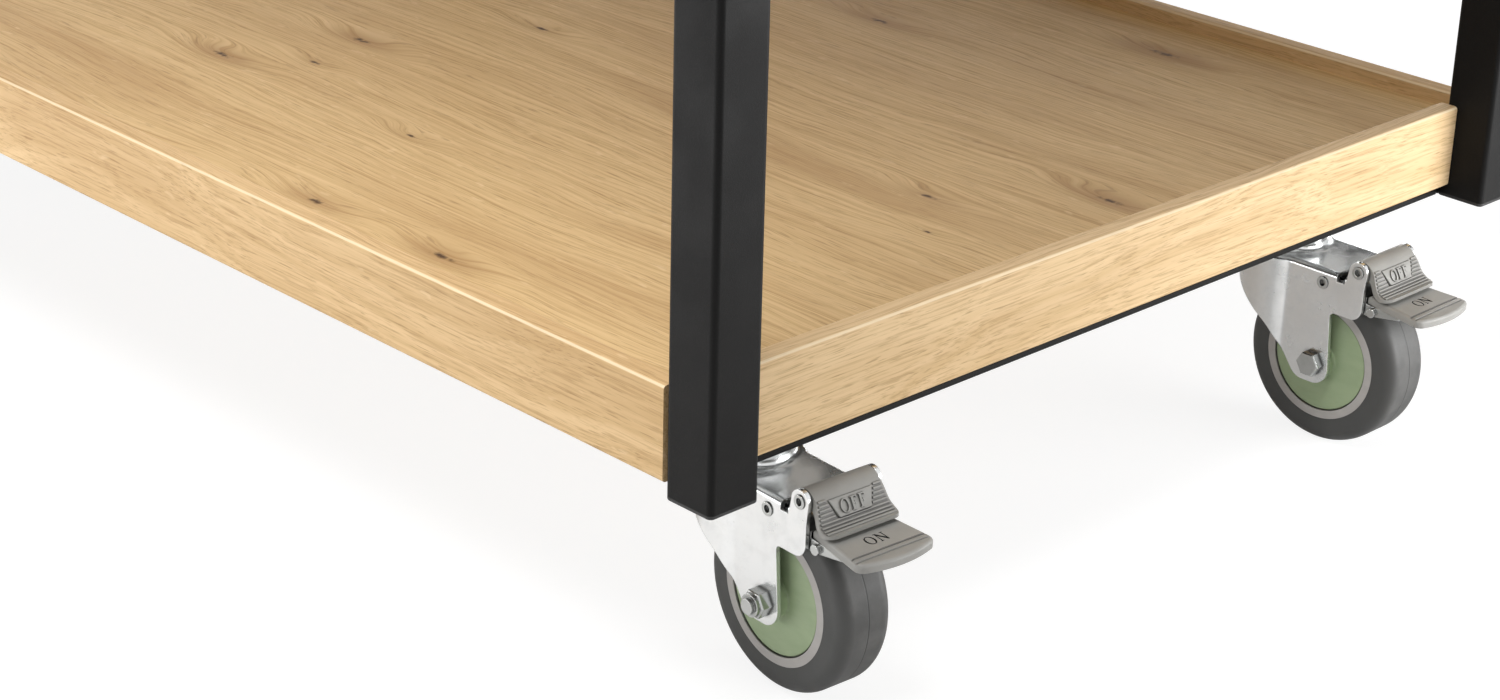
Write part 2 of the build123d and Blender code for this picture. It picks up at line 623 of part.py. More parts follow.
pedal_under = pedal_plane.offset(-PEDAL_THICK - SEAT_GAP)
arm_root = pedal_under.from_local_coords((-ARM_STEP, 0, 0))
arm_tip = pedal_under.from_local_coords((ARM_REACH, 0, 0))
with BuildPart() as brake_shoe:
    with BuildSketch(Plane.XZ.offset(arm_in)):
        with Locations((PEDAL_PIN_X, PEDAL_PIN_Z)):
            Circle(ARM_END_RADIUS)
        with BuildLine():
            Polyline(
                (PEDAL_PIN_X, PEDAL_PIN_Z + ARM_END_RADIUS), (EAR_BACK, SHOE_TOP_IN),
                (arm_root.X, SHOE_TOP_OUT), (arm_root.X, arm_root.Z), (arm_tip.X, arm_tip.Z),
                (arm_tip.X, arm_tip.Z - ARM_TIP), (pedal_in_x, ARM_LOW),
                (PEDAL_PIN_X, PEDAL_PIN_Z - ARM_END_RADIUS), close=True,
            )
        make_face()
        with Locations((PEDAL_PIN_X, PEDAL_PIN_Z)):
            Circle(PIN_RADIUS + PIN_FIT, mode=Mode.SUBTRACT)
    extrude(amount=arm_out - arm_in)
    with BuildSketch(Plane.XZ.offset(arm_out)):
        with Locations((stud_x, STUD_Z)):
            Circle(STUD_RADIUS)
    extrude(amount=STUD_PROUD)
    mirror(about=Plane.XZ)
    with BuildSketch(Plane.XZ):
        Polygon(
            (EAR_BACK, ARM_LOW), (arm_root.X, ARM_LOW), (arm_root.X, SHOE_TOP_OUT), (EAR_BACK, SHOE_TOP_IN),
            align=None,
        )
        with Locations((TRAIL, AXLE_Z)):
            Circle(SHOE_RADIUS, mode=Mode.SUBTRACT)
    extrude(amount=arm_in, both=True)

lever_face = [(LEVER_PIN_X + EAR_RADIUS * x, LEVER_PIN_Z + EAR_RADIUS * z) for x, z in LEVER_FACE]
lever_back = [(LEVER_PIN_X + EAR_RADIUS * x, LEVER_PIN_Z + EAR_RADIUS * z) for x, z in LEVER_BACK]
flare_start = LEVER_PIN_X + FLARE_START
flare_end = LEVER_PIN_X + FLARE_END
lip_end = LEVER_PIN_X + LIP_REACH
with BuildPart() as release_lever:
    with BuildSketch(Plane.XZ):
        with BuildLine():
            Spline(*lever_face)
            Line(lever_face[-1], lever_back[0])
            Spline(*lever_back)
            Line(lever_back[-1], lever_face[0])
        make_face()
    extrude(amount=lip_half, both=True)
    with BuildSketch(Plane.XY):
        with BuildLine():
            FilletPolyline(
                (0, -lever_half), (flare_start, -lever_half), (flare_end, -lip_half), (lip_end, -lip_half),
                (lip_end, lip_half), (flare_end, lip_half), (flare_start, lever_half), (0, lever_half),
                radius=[0, FLARE_ROUND, FLARE_ROUND, LIP_CORNER, LIP_CORNER, FLARE_ROUND, FLARE_ROUND, 0],
                close=True,
            )
        make_face()
    extrude(amount=FOOT, mode=Mode.INTERSECT)
    with BuildSketch(Plane.XZ):
        with Locations((LEVER_PIN_X, LEVER_PIN_Z)):
            Circle(EAR_RADIUS)
    extrude(amount=lever_half, both=True)
    with BuildSketch(Plane.XZ):
        with Locations((LEVER_PIN_X, LEVER_PIN_Z)):
            Circle(PIN_RADIUS + PIN_FIT)
    extrude(amount=FORK_WIDTH, both=True, mode=Mode.SUBTRACT)

# Casters at their stations
for corner in ("front_right", "back_right", "front_left", "back_left"):
    row, side = corner.split("_")
    yaw = YAW[corner] if corner in YAW else YAW[TURNED[corner]] + 180
    source = corner if corner in YAW else TURNED[corner]
    station = Location((SIDES[side] * swivel_x, ROWS[row] * swivel_y, 0), (0, 0, yaw))
    nut_side = -1 if source == "front_right" else 1
    pieces = {
        "fork": fork.part,
        "axle_set": axle_set(nut_side),
        "brake_pins": brake_pins.part,
        "thread_guards": thread_guards.part,
        "tyre": tyre.part,
        "wheel_core": wheel_core.part,
        "brake_pedal": brake_pedal.part,
        "brake_shoe": brake_shoe.part,
        "release_lever": release_lever.part,
    }
    for piece, shape in pieces.items():
        save(shape.moved(station), f"{corner}_{piece}")
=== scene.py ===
"""Looks of the serving cart: oak trays, black tube frame and braked swivel casters in a white studio."""
import logging
import math
from dataclasses import dataclass, field
from enum import Enum
from typing import Any, Callable, Dict, List, Optional, Sequence, Tuple

import bmesh
import bpy
import numpy as np
from mathutils import Matrix, Vector
from mathutils.bvhtree import BVHTree


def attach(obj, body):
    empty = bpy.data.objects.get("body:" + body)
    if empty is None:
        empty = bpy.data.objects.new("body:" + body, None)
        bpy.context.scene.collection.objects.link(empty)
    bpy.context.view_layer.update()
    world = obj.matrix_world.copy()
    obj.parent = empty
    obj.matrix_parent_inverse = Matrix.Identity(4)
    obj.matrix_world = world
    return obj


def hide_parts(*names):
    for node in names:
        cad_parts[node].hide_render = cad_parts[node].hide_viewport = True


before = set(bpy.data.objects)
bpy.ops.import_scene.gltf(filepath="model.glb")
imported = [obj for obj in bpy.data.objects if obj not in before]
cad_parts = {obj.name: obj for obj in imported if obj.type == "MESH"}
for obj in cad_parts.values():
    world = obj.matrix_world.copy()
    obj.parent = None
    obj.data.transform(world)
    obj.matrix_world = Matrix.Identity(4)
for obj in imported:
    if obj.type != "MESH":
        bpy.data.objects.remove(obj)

LOG = logging.getLogger("serving_cart")
MM = 0.001
WELD = 1e-6
Colour = Tuple[float, float, float]
Point2 = Tuple[float, float]
Point3 = Tuple[float, float, float]
Placer = Callable[[float, float, float], Vector]
Socket = bpy.types.NodeSocket


class Grain(Enum):
    """The direction that a board's grain runs in."""

    ALONG = "x"
    ACROSS = "y"


class Shader:
    """One material and the wiring of its nodes."""

    def __init__(self, name: str) -> None:
        """Starts a material that holds a Principled shader.

        Args:
            name: the material's name.
        """
        self.material = bpy.data.materials.new(name)
        self.material.use_nodes = True
        self.tree = self.material.node_tree
        self.tree.nodes.clear()
        self.surface = self.add("ShaderNodeBsdfPrincipled")
        output = self.add("ShaderNodeOutputMaterial")
        self.tree.links.new(self.surface.outputs["BSDF"], output.inputs["Surface"])

    def add(self, kind: str, **settings: Any) -> bpy.types.Node:
        """Adds a node.

        Args:
            kind: the node's type name.
            settings: properties to set on the node.

        Returns:
            The new node.
        """
        node = self.tree.nodes.new(kind)
        for key, value in settings.items():
            setattr(node, key, value)
        return node

    def feed(self, socket: Socket, value: Any) -> None:
        """Links a socket to an output, or sets its constant.

        Args:
            socket: the input.
            value: an output socket or a constant.
        """
        if isinstance(value, bpy.types.NodeSocket):
            self.tree.links.new(value, socket)
        elif isinstance(value, tuple) and len(value) == 3 and socket.type == "RGBA":
            socket.default_value = (*value, 1.0)
        else:
            socket.default_value = value

    def set(self, **values: Any) -> None:
        """Sets the Principled shader's inputs, with underscores for spaces in their names."""
        for key, value in values.items():
            self.feed(self.surface.inputs[key.replace("_", " ")], value)

    def math(self, operation: str, a: Any, b: Any = 0.0, c: Any = 0.0) -> Socket:
        """Adds a Math node.

        Args:
            operation: the operation's name.
            a: the first value or socket.
            b: the second value or socket.
            c: the third value or socket.

        Returns:
            The node's output.
        """
        node = self.add("ShaderNodeMath", operation=operation)
        for socket, value in zip(node.inputs, (a, b, c)):
            self.feed(socket, value)
        return node.outputs[0]

    def vector(self, operation: str, a: Any, b: Any) -> bpy.types.Node:
        """Adds a Vector Math node.

        Args:
            operation: the operation's name.
            a: the first vector.
            b: the second vector.

        Returns:
            The node.
        """
        node = self.add("ShaderNodeVectorMath", operation=operation)
        self.feed(node.inputs[0], a)
        self.feed(node.inputs[1], b)
        return node

    def place(self) -> Socket:
        """Gives the point on the piece, in metres in the cart's frame."""
        return self.add("ShaderNodeTexCoord").outputs["Object"]

    def stretched(self, where: Socket, scale: Point3) -> Socket:
        """Gives the place multiplied by a scale for each axis."""
        return self.vector("MULTIPLY", where, scale).outputs["Vector"]

    def noise(
        self, where: Socket, scale: float, detail: float = 2.0, rough: float = 0.5, line: bool = False
    ) -> Socket:
        """Adds a noise texture.

        Args:
            where: the place to read it at, or one coordinate of it.
            scale: how many cells there are to a metre.
            detail: how many finer layers it has.
            rough: how strong the finer layers are.
            line: whether the place is one coordinate.

        Returns:
            The noise, about 0.5 on average.
        """
        node = self.add("ShaderNodeTexNoise", noise_dimensions="1D" if line else "3D")
        self.feed(node.inputs["W" if line else "Vector"], where)
        node.inputs["Scale"].default_value = scale
        node.inputs["Detail"].default_value = detail
        node.inputs["Roughness"].default_value = rough
        return node.outputs[0]

    def step(self, value: Any, low: float, high: float, to_low: float = 0.0, to_high: float = 1.0) -> Socket:
        """Maps a value smoothly from one range to another.

        Args:
            value: the socket to map.
            low: where the change begins.
            high: where the change ends.
            to_low: the result at low.
            to_high: the result at high.

        Returns:
            The mapped value.
        """
        node = self.add("ShaderNodeMapRange", interpolation_type="SMOOTHSTEP")
        for socket, number in zip(node.inputs, (value, low, high, to_low, to_high)):
            self.feed(socket, number)
        return node.outputs[0]

    def mix(self, share: Any, a: Any, b: Any) -> Socket:
        """Mixes two colours.

        Args:
            share: how much of the second colour shows.
            a: the first colour.
            b: the second colour.

        Returns:
            The mixed colour.
        """
        node = self.add("ShaderNodeMix", data_type="RGBA", blend_type="MIX")
        self.feed(node.inputs["Factor"], share)
        self.feed(node.inputs[6], a)
        self.feed(node.inputs[7], b)
        return node.outputs[2]

    def bump(
        self, height: Socket, strength: float, distance: float, under: Optional[Socket] = None
    ) -> Socket:
        """Adds a bump.

        Args:
            height: the height pattern.
            strength: how strong it is, up to 1.
            distance: the height of a full step in metres.
            under: another normal to build on.

        Returns:
            The new normal.
        """
        node = self.add("ShaderNodeBump")
        node.inputs["Strength"].default_value = strength
        node.inputs["Distance"].default_value = distance
        self.feed(node.inputs["Height"], height)
        if under is not None:
            self.feed(node.inputs["Normal"], under)
        return node.outputs["Normal"]

    def rounded(self, radius: float) -> Socket:
        """Gives a normal that is softened at sharp edges by this radius in metres."""
        node = self.add("ShaderNodeBevel", samples=4)
        node.inputs["Radius"].default_value = radius
        return node.outputs["Normal"]

    def hollow(self, reach: float) -> Socket:
        """Gives 1 in a narrow recess and 0 in the open, as seen within this reach in metres."""
        node = self.add("ShaderNodeAmbientOcclusion", samples=8)
        node.inputs["Distance"].default_value = reach
        return self.step(node.outputs["AO"], 0.95, 0.45)

    def edges(self, normal: Socket) -> Socket:
        """Gives 1 at an edge and 0 on a flat face, from a softened normal."""
        true = self.add("ShaderNodeNewGeometry").outputs["Normal"]
        return self.step(self.vector("DOT_PRODUCT", normal, true).outputs["Value"], 0.995, 0.80)


@dataclass(frozen=True)
class Oak:
    """Clear lacquered oak with wavy grain, pores, pale ray flecks, a few small cracked knots and a painted
    highlight on its rounded edges.
    """

    name: str
    grain: Grain = Grain.ALONG
    shift: Point3 = (0.0, 0.0, 0.0)
    knots: Tuple[Point3, ...] = ()
    pale: Colour = (0.74, 0.525, 0.285)
    dark: Colour = (0.56, 0.365, 0.170)
    brown: Colour = (0.44, 0.265, 0.110)
    thread: Colour = (0.35, 0.20, 0.08)
    pore: Colour = (0.26, 0.14, 0.05)
    fleck: Colour = (0.86, 0.66, 0.40)
    oak_highlight: Colour = (0.95, 0.81, 0.58)
    halo: Colour = (0.30, 0.155, 0.052)
    knot: Colour = (0.070, 0.032, 0.012)

    def along_grain(self, shader: Shader) -> Socket:
        """Gives the point on the board, turned so that the grain runs along X.

        Args:
            shader: the material's wiring.

        Returns:
            The point.
        """
        where = shader.place()
        if self.grain is Grain.ALONG:
            return where
        parts = shader.add("ShaderNodeSeparateXYZ")
        shader.feed(parts.inputs[0], where)
        turned = shader.add("ShaderNodeCombineXYZ")
        for socket, axis in zip(turned.inputs, (1, 0, 2)):
            shader.feed(socket, parts.outputs[axis])
        return turned.outputs[0]

    def knot_field(self, shader: Shader, where: Socket) -> Tuple[Any, Any]:
        """Measures how near a point is to the knots.

        Args:
            shader: the material's wiring.
            where: the point, with the grain along X.

        Returns:
            The swelling of the grain round the knots, and the knots' dark hearts.
        """
        swell: Any = 0.0
        heart: Any = 0.0
        if not self.knots:
            return swell, heart
        ragged = shader.noise(where, 240.0, 3.0)
        for x, y, size in self.knots:
            offset = shader.vector("SUBTRACT", where, (x, y, 0.0)).outputs["Vector"]
            flat = shader.stretched(offset, (0.32 / size, 1.0 / size, 0.0))
            reach = shader.vector("LENGTH", flat, (0.0, 0.0, 0.0)).outputs["Value"]
            swell = shader.math("ADD", swell, shader.step(reach, 5.0, 0.0, 0.0, size * 2.6))
            edge = shader.math("MULTIPLY_ADD", ragged, 1.3, reach)
            heart = shader.math("ADD", heart, shader.step(edge, 1.35, 0.70))
        return swell, heart

    def bend(self, shader: Shader, where: Socket, swell: Any) -> Tuple[Socket, Socket]:
        """Bends the grain in slow waves and round the knots.

        Args:
            shader: the material's wiring.
            where: the point in the board that this piece is cut from.
            swell: the swelling of the grain round the knots.

        Returns:
            The distance across the growth rings, and the point along the bent fibres.
        """
        split = shader.add("ShaderNodeSeparateXYZ")
        shader.feed(split.inputs[0], where)
        drift = shader.noise(shader.stretched(where, (1.0, 4.0, 4.0)), 1.7, 3.0)
        ripple = shader.noise(shader.stretched(where, (1.0, 2.2, 2.2)), 13.0, 2.0)
        ring = shader.math("MULTIPLY_ADD", split.outputs["Z"], 0.45, split.outputs["Y"])
        ring = shader.math("MULTIPLY_ADD", drift, 0.075, ring)
        ring = shader.math("MULTIPLY_ADD", ripple, 0.005, ring)
        ring = shader.math("ADD", ring, swell)
        bent = shader.add("ShaderNodeCombineXYZ")
        for socket, part in zip(bent.inputs, (split.outputs["X"], ring, split.outputs["Z"])):
            shader.feed(socket, part)
        return ring, bent.outputs[0]

    def tilted_face_highlight(self, shader: Shader) -> Socket:
        """Gives how pale the sanded faces are that lean between flat and upright.

        Args:
            Gives the share of painted highlight on the faces that lean between flat and upright, such as
            rounded edges.

        Returns:
            The share of the painted highlight colour.
        """
        facing = shader.add("ShaderNodeSeparateXYZ")
        shader.feed(facing.inputs[0], shader.add("ShaderNodeNewGeometry").outputs["Normal"])
        tilt = facing.outputs["Z"]
        between = shader.math("MULTIPLY", shader.step(tilt, 0.25, 0.55), shader.step(tilt, 0.97, 0.80))
        return shader.math("MULTIPLY", between, 0.60)

    def make(self) -> bpy.types.Material:
        """Wires the wood.

        Returns:
            The material.
        """
        shader = Shader(self.name)
        where = self.along_grain(shader)
        swell, heart = self.knot_field(shader, where)
        where = shader.vector("ADD", where, self.shift).outputs["Vector"]
        ring, fibres = self.bend(shader, where, swell)
        bands = shader.noise(ring, 330.0, 5.0, line=True)
        broad = shader.noise(shader.stretched(fibres, (1.0, 7.0, 7.0)), 3.1, 4.0)
        streaks = shader.noise(shader.stretched(fibres, (0.040, 1.0, 1.0)), 210.0, 2.0)
        threads = shader.noise(shader.stretched(fibres, (0.016, 1.0, 1.0)), 800.0, 3.0, 0.6)
        pores = shader.noise(shader.stretched(fibres, (0.045, 1.0, 1.0)), 1250.0, 2.0)
        flecks = shader.noise(shader.stretched(where, (0.30, 1.0, 1.0)), 210.0, 2.0)
        colour = shader.mix(shader.step(bands, 0.26, 0.78, 0.0, 0.62), self.pale, self.dark)
        colour = shader.mix(shader.step(broad, 0.44, 0.72, 0.0, 0.58), colour, self.brown)
        colour = shader.mix(shader.step(streaks, 0.58, 0.76, 0.0, 0.42), colour, self.brown)
        colour = shader.mix(shader.step(threads, 0.46, 0.70, 0.0, 0.46), colour, self.thread)
        colour = shader.mix(shader.step(pores, 0.57, 0.72, 0.0, 0.46), colour, self.pore)
        colour = shader.mix(shader.step(flecks, 0.66, 0.76, 0.0, 0.28), colour, self.fleck)
        # painted highlight: faces leaning between flat and upright, such as the rims' rounded edges, turn
        # pale as if they caught light
        colour = shader.mix(self.tilted_face_highlight(shader), colour, self.oak_highlight)
        if self.knots:
            colour = shader.mix(shader.step(swell, 0.002, 0.016, 0.0, 0.70), colour, self.halo)
            colour = shader.mix(heart, colour, self.knot)
        shader.set(Base_Color=colour, Specular_IOR_Level=0.12, Coat_Weight=0.02, Coat_Roughness=0.20)
        shader.set(Roughness=shader.step(threads, 0.2, 0.8, 0.42, 0.58))
        lines = shader.math("MULTIPLY_ADD", pores, -0.7, shader.math("MULTIPLY", threads, -0.5))
        shader.set(Normal=shader.bump(lines, 0.22, 0.00035))
        return shader.material


@dataclass(frozen=True)
class PowderCoat:
    """Black powder coat with a fine pimpled texture and paler edges, partly edge wear and partly a painted
    highlight.
    """

    name: str = "powder_coat"
    tone: Colour = (0.0062, 0.0060, 0.0059)
    pimple: Colour = (0.016, 0.0155, 0.015)
    wear_highlight_tone: Colour = (0.034, 0.033, 0.032)

    def make(self) -> bpy.types.Material:
        """Wires the coat.

        Returns:
            The material.
        """
        shader = Shader(self.name)
        where = shader.place()
        grit = shader.noise(where, 2300.0, 2.0)
        cloud = shader.noise(where, 35.0, 3.0)
        soft = shader.rounded(0.0007)
        # paler edges in patches: partly edge wear, partly painted highlight
        wear_highlight_mask = shader.math("MULTIPLY", shader.edges(soft), shader.step(cloud, 0.40, 0.70, 0.10, 0.55))
        colour = shader.mix(shader.step(grit, 0.45, 0.80, 0.0, 0.5), self.tone, self.pimple)
        shader.set(Base_Color=shader.mix(wear_highlight_mask, colour, self.wear_highlight_tone), Specular_IOR_Level=0.11)
        shader.set(Roughness=shader.step(cloud, 0.3, 0.7, 0.42, 0.52))
        shader.set(Normal=shader.bump(grit, 0.32, 0.00022, soft))
        return shader.material


@dataclass(frozen=True)
class Zinc:
    """Bright zinc plate with faint rolling lines, cloudy bloom, a painted highlight on its edges and painted
    shade in its corners.
    """

    name: str
    tone: Colour = (0.80, 0.81, 0.81)
    dull: Colour = (0.60, 0.61, 0.61)
    rough: Point2 = (0.16, 0.28)
    run: Point3 = (1.0, 1.0, 0.06)
    speck: Colour = (0.36, 0.37, 0.36)
    zinc_glint: Colour = (0.90, 0.90, 0.90)
    zinc_corner_shade: Colour = (0.07, 0.068, 0.064)

    def make(self) -> bpy.types.Material:
        """Wires the metal.

        Returns:
            The material.
        """
        shader = Shader(self.name)
        where = shader.place()
        lines = shader.noise(shader.stretched(where, self.run), 1500.0, 2.0)
        bloom = shader.noise(where, 70.0, 4.0, 0.6)
        specks = shader.noise(where, 900.0, 2.0)
        soft = shader.rounded(0.0006)
        colour = shader.mix(shader.step(bloom, 0.40, 0.75, 0.0, 0.55), self.tone, self.dull)
        colour = shader.mix(shader.step(specks, 0.66, 0.80, 0.0, 0.35), colour, self.speck)
        # painted highlight: every edge is paler, as if it caught light
        colour = shader.mix(shader.math("MULTIPLY", shader.edges(soft), 0.6), colour, self.zinc_glint)
        # painted shade: corners and recesses are dimmed, from ambient occlusion
        corner_shade_amount = shader.math("MULTIPLY", shader.hollow(0.003), 0.75)
        shader.set(Base_Color=shader.mix(corner_shade_amount, colour, self.zinc_corner_shade), Metallic=1.0)
        shader.set(Roughness=shader.step(bloom, 0.3, 0.7, *self.rough))
        shader.set(Normal=shader.bump(lines, 0.10, 0.00012, soft))
        return shader.material


@dataclass(frozen=True)
class Plastic:
    """Moulded plastic with a spark-eroded skin, slight flow marks, a painted highlight on its edges and
    painted shade in its recesses.
    """

    name: str
    tone: Colour
    deep: Colour
    rough: Point2 = (0.42, 0.58)
    skin: float = 0.25
    highlight_gain: float = 1.35
    highlight_lift: float = 0.02
    shade_share: float = 0.22

    def make(self) -> bpy.types.Material:
        """Wires the plastic.

        Returns:
            The material.
        """
        shader = Shader(self.name)
        where = shader.place()
        skin = shader.noise(where, 2600.0, 2.0)
        flow = shader.noise(shader.stretched(where, (1.0, 1.0, 2.5)), 60.0, 3.0)
        soft = shader.rounded(0.0004)
        colour = shader.mix(shader.step(flow, 0.30, 0.75), self.tone, self.deep)
        # painted highlight: every edge is paler, as if it caught light
        plastic_highlight = tuple(min(1.0, self.highlight_gain * part + self.highlight_lift) for part in self.tone)
        colour = shader.mix(shader.math("MULTIPLY", shader.edges(soft), 0.45), colour, plastic_highlight)
        # painted shade: narrow recesses, such as between the lever's ribs, are dimmed by ambient occlusion
        plastic_recess_shade = tuple(self.shade_share * part for part in self.deep)
        colour = shader.mix(shader.math("MULTIPLY", shader.hollow(0.0012), 0.85), colour, plastic_recess_shade)
        shader.set(Base_Color=colour, Specular_IOR_Level=0.45)
        shader.set(Roughness=shader.step(flow, 0.3, 0.7, *self.rough))
        shader.set(Normal=shader.bump(skin, self.skin, 0.00012, soft))
        return shader.material


@dataclass(frozen=True)
class Rubber:
    """Grey rubber tyre with a mould parting line round its middle and dust on the tread."""

    name: str
    centre: Point3
    axle: Point3
    tone: Colour = (0.058, 0.058, 0.056)
    dust: Colour = (0.105, 0.104, 0.101)
    parting: Colour = (0.020, 0.020, 0.020)

    def make(self) -> bpy.types.Material:
        """Wires the rubber.

        Returns:
            The material.
        """
        shader = Shader(self.name)
        where = shader.place()
        offset = shader.vector("SUBTRACT", where, self.centre).outputs["Vector"]
        across = shader.vector("DOT_PRODUCT", offset, self.axle).outputs["Value"]
        off_middle = shader.math("ABSOLUTE", across)
        seam = shader.step(off_middle, 0.00050, 0.00018)
        grain = shader.noise(where, 1900.0, 2.0)
        smear = shader.noise(where, 55.0, 4.0, 0.6)
        tread = shader.step(off_middle, 0.0145, 0.010)
        dusty = shader.math("MULTIPLY", shader.step(smear, 0.35, 0.75), tread)
        colour = shader.mix(dusty, self.tone, self.dust)
        colour = shader.mix(shader.math("MULTIPLY", seam, 0.75), colour, self.parting)
        shader.set(Base_Color=colour, Specular_IOR_Level=0.45)
        shader.set(Roughness=shader.step(smear, 0.3, 0.7, 0.46, 0.62))
        height = shader.math("MULTIPLY_ADD", seam, -1.6, shader.math("MULTIPLY", grain, 0.35))
        shader.set(Normal=shader.bump(height, 0.45, 0.00022))
        return shader.material


@dataclass(frozen=True)
class Station:
    """Where one caster stands: its swivel axis on the floor plan in millimetres, its yaw in degrees."""

    corner: str
    x: float
    y: float
    yaw: float

    def place(self, point: Sequence[float]) -> Vector:
        """Carries a point of the caster's own frame to the cart's frame.

        Args:
            point: millimetres; Z is the swivel axis and +X points to the pedals.

        Returns:
            The point in metres.
        """
        turned = Matrix.Rotation(math.radians(self.yaw), 4, "Z") @ Vector(point)
        return (turned + Vector((self.x, self.y, 0.0))) * MM

    def turn(self, direction: Sequence[float]) -> Vector:
        """Turns a direction of the caster's own frame to the cart's frame."""
        return Matrix.Rotation(math.radians(self.yaw), 3, "Z") @ Vector(direction)


STATIONS = (
    Station("front_right", 398.0, -215.0, -4.0),
    Station("back_right", 398.0, 215.0, 0.0),
    Station("front_left", -398.0, -215.0, 180.0),
    Station("back_left", -398.0, 215.0, 176.0),
)


def dress(node: str, material: bpy.types.Material) -> None:
    """Gives a node of the model its finish.

    Args:
        node: the node's name.
        material: the finish.
    """
    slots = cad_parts[node].data.materials
    if not slots:
        slots.append(material)
    for index in range(len(slots)):
        slots[index] = material
    LOG.info("dressed %s in %s", node, material.name)


def finish_mesh(mesh: bpy.types.Mesh, angle: float = 35.0) -> None:
    """Shades a mesh smooth, with creases where its faces meet at more than an angle.

    Args:
        mesh: the mesh.
        angle: the angle in degrees.
    """
    mesh.polygons.foreach_set("use_smooth", [True] * len(mesh.polygons))
    mesh.set_sharp_from_angle(angle=math.radians(angle))


def apply_modifiers(piece: bpy.types.Object) -> None:
    """Turns a piece's modifiers into its mesh.

    Args:
        piece: the piece.
    """
    bpy.context.view_layer.update()
    ready = piece.evaluated_get(bpy.context.evaluated_depsgraph_get())
    mesh = bpy.data.meshes.new_from_object(ready)
    piece.modifiers.clear()
    piece.data = mesh


def level_faces(piece: bpy.types.Object) -> None:
    """Keeps a piece's large flat faces evenly shaded up to their rounded edges.

    Args:
        piece: the piece, already shaded smooth.
    """
    weigh = piece.modifiers.new("level_faces", "WEIGHTED_NORMAL")
    weigh.mode = "FACE_AREA"
    weigh.weight = 100
    weigh.keep_sharp = True
    apply_modifiers(piece)


def add_object(name: str, shape: bmesh.types.BMesh, material: bpy.types.Material) -> bpy.types.Object:
    """Adds an object to the scene.

    Args:
        name: the object's name.
        shape: its mesh in metres in the cart's frame; it is freed here.
        material: its finish.

    Returns:
        The object.
    """
    mesh = bpy.data.meshes.new(name)
    shape.to_mesh(mesh)
    shape.free()
    mesh.materials.append(material)
    made = bpy.data.objects.new(name, mesh)
    bpy.context.scene.collection.objects.link(made)
    return made


def add_piece(
    name: str, shape: bmesh.types.BMesh, body: str, material: bpy.types.Material
) -> bpy.types.Object:
    """Makes a piece from a shape and lets it ride on a body.

    Args:
        name: the piece's name.
        shape: its mesh in metres in the cart's frame; it is freed here.
        body: the body that carries it.
        material: its finish.

    Returns:
        The piece.
    """
    bmesh.ops.recalc_face_normals(shape, faces=shape.faces)
    piece = add_object(name, shape, material)
    finish_mesh(piece.data)
    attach(piece, body)
    LOG.info("built %s on %s", name, body)
    return piece


def join_rings(
    shape: bmesh.types.BMesh, first: Sequence[bmesh.types.BMVert], second: Sequence[bmesh.types.BMVert]
) -> None:
    """Joins two rings of points with a band of faces.

    Args:
        shape: the mesh to add to.
        first: the first ring.
        second: the second ring, with as many points.
    """
    count = len(first)
    for i in range(count):
        j = (i + 1) % count
        shape.faces.new((first[i], first[j], second[j], second[i]))


@dataclass(frozen=True)
class Letter:
    """One roman capital, one unit high: its outline and, for a round letter, its counter."""

    outline: Tuple[Point2, ...]
    counter: Tuple[Point2, ...] = ()
    width: float = 0.8

    def add(self, shape: bmesh.types.BMesh, place: Placer, low: float, high: float) -> None:
        """Adds the letter as a closed prism.

        Args:
            shape: the mesh to add to.
            place: maps (right, up, height) of the letter to the cart's frame.
            low: the height of its foot.
            high: the height of its face.
        """
        foot, face = (
            [shape.verts.new(place(u, v, level)) for u, v in self.outline] for level in (low, high)
        )
        join_rings(shape, foot, face)
        if not self.counter:
            shape.faces.new(list(reversed(foot)))
            shape.faces.new(face)
            return
        hole_foot, hole_face = (
            [shape.verts.new(place(u, v, level)) for u, v in self.counter] for level in (low, high)
        )
        join_rings(shape, hole_face, hole_foot)
        join_rings(shape, face, hole_face)
        join_rings(shape, hole_foot, foot)


def oval(
    half_width: float, half_height: float, middle: Point2 = (0.42, 0.5), count: int = 40
) -> Tuple[Point2, ...]:
    """Draws an oval for a round letter.

    Args:
        half_width: half its width.
        half_height: half its height.
        middle: its middle.
        count: how many points it has.

    Returns:
        Its points.
    """
    x, y = middle
    turns = [2.0 * math.pi * i / count for i in range(count)]
    return tuple((x + half_width * math.cos(t), y + half_height * math.sin(t)) for t in turns)


LETTERS: Dict[str, Letter] = {
    "O": Letter(oval(0.42, 0.52), oval(0.27, 0.45), 0.92),
    "F": Letter(
        (
            (0.0, 0.0), (0.36, 0.0), (0.36, 0.045), (0.27, 0.075), (0.27, 0.45), (0.38, 0.45), (0.40, 0.41),
            (0.43, 0.41), (0.43, 0.59), (0.40, 0.59), (0.38, 0.55), (0.27, 0.55), (0.27, 0.91), (0.51, 0.91),
            (0.56, 0.82), (0.60, 0.82), (0.60, 1.0), (0.0, 1.0), (0.0, 0.955), (0.10, 0.925), (0.10, 0.075),
            (0.0, 0.045),
        ),
        width=0.72,
    ),
    "N": Letter(
        (
            (0.0, 0.0), (0.27, 0.0), (0.27, 0.045), (0.175, 0.075), (0.175, 0.74), (0.66, 0.0), (0.76, 0.0),
            (0.76, 0.925), (0.86, 0.955), (0.86, 1.0), (0.58, 1.0), (0.58, 0.955), (0.675, 0.925),
            (0.675, 0.31), (0.22, 1.0), (0.0, 1.0), (0.0, 0.955), (0.095, 0.925), (0.095, 0.075),
            (0.0, 0.045),
        ),
        width=0.96,
    ),
}


